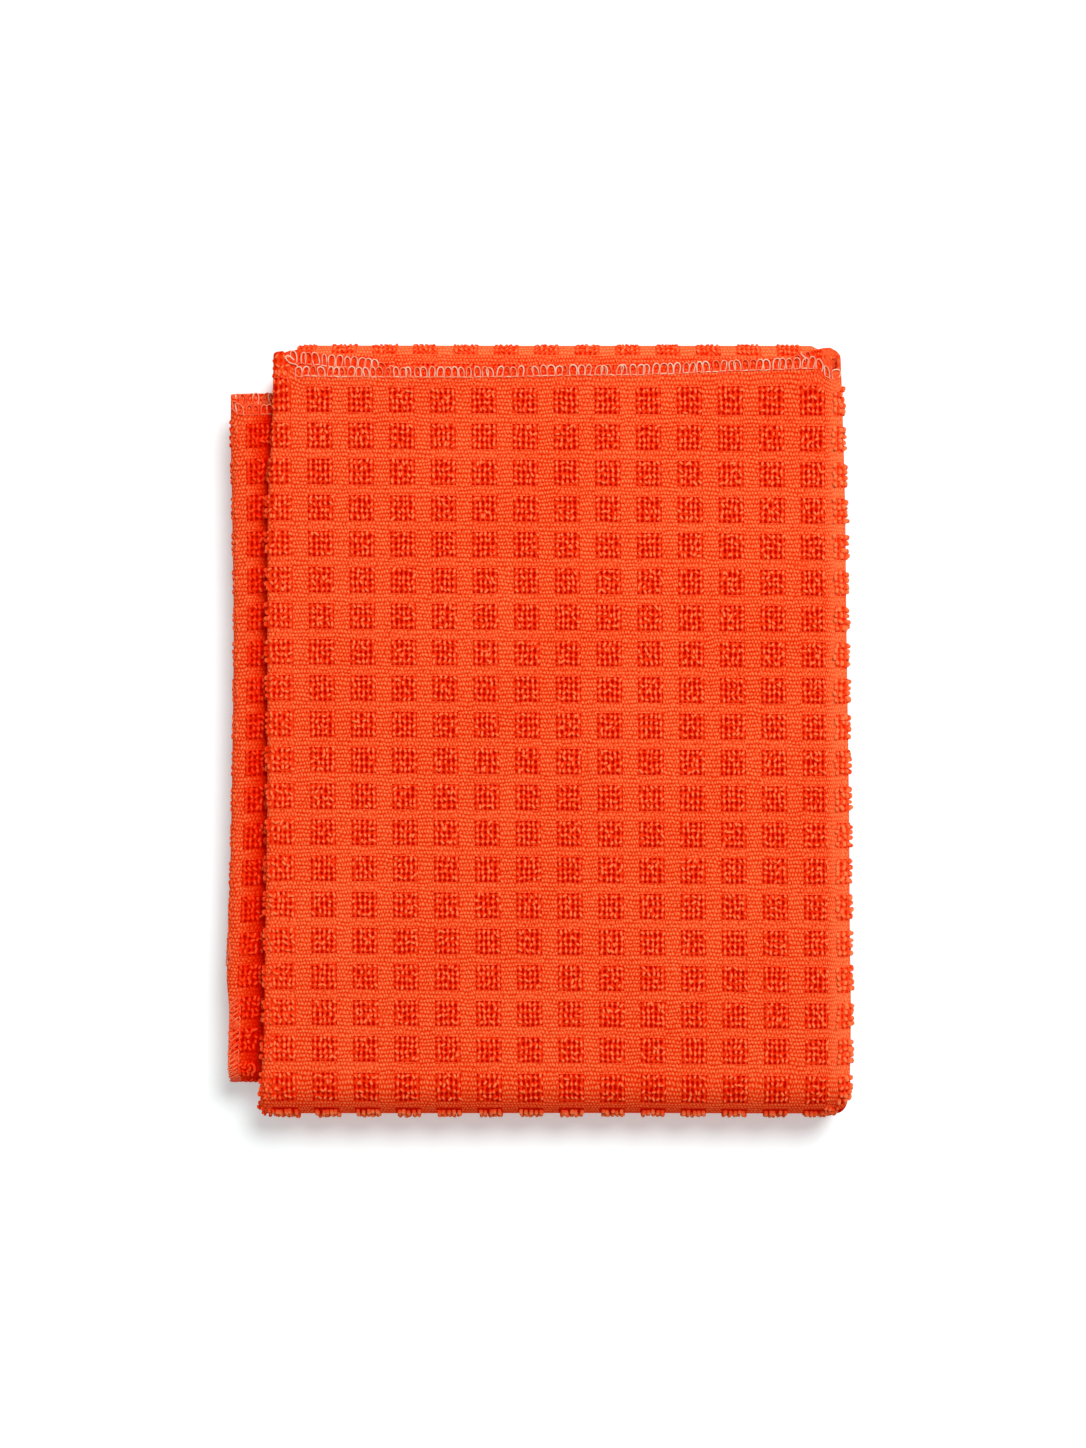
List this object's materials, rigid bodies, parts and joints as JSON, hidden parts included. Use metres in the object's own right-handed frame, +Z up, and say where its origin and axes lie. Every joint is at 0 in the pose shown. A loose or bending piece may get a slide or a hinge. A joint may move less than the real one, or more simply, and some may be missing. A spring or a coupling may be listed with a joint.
{
  "type": "floor cloth",
  "caption": "Floor cloth of knitted terry with raised squares and overlocked hems, folded in three each way into a flat packet.",
  "frame": {"origin": "centre of the packet's footprint, on the surface it lies on", "axes": "+Y along the packet to the end with the top hem, +X to the side fold away from the strip, +Z up"},
  "size_m": [0.2208, 0.275, 0.0279],
  "materials": {
    "terry": "matt orange-red microfibre knit with looped terry squares"
  },
  "bodies": {
    "root": {"cloth": "terry"}
  },
  "joints": []
}
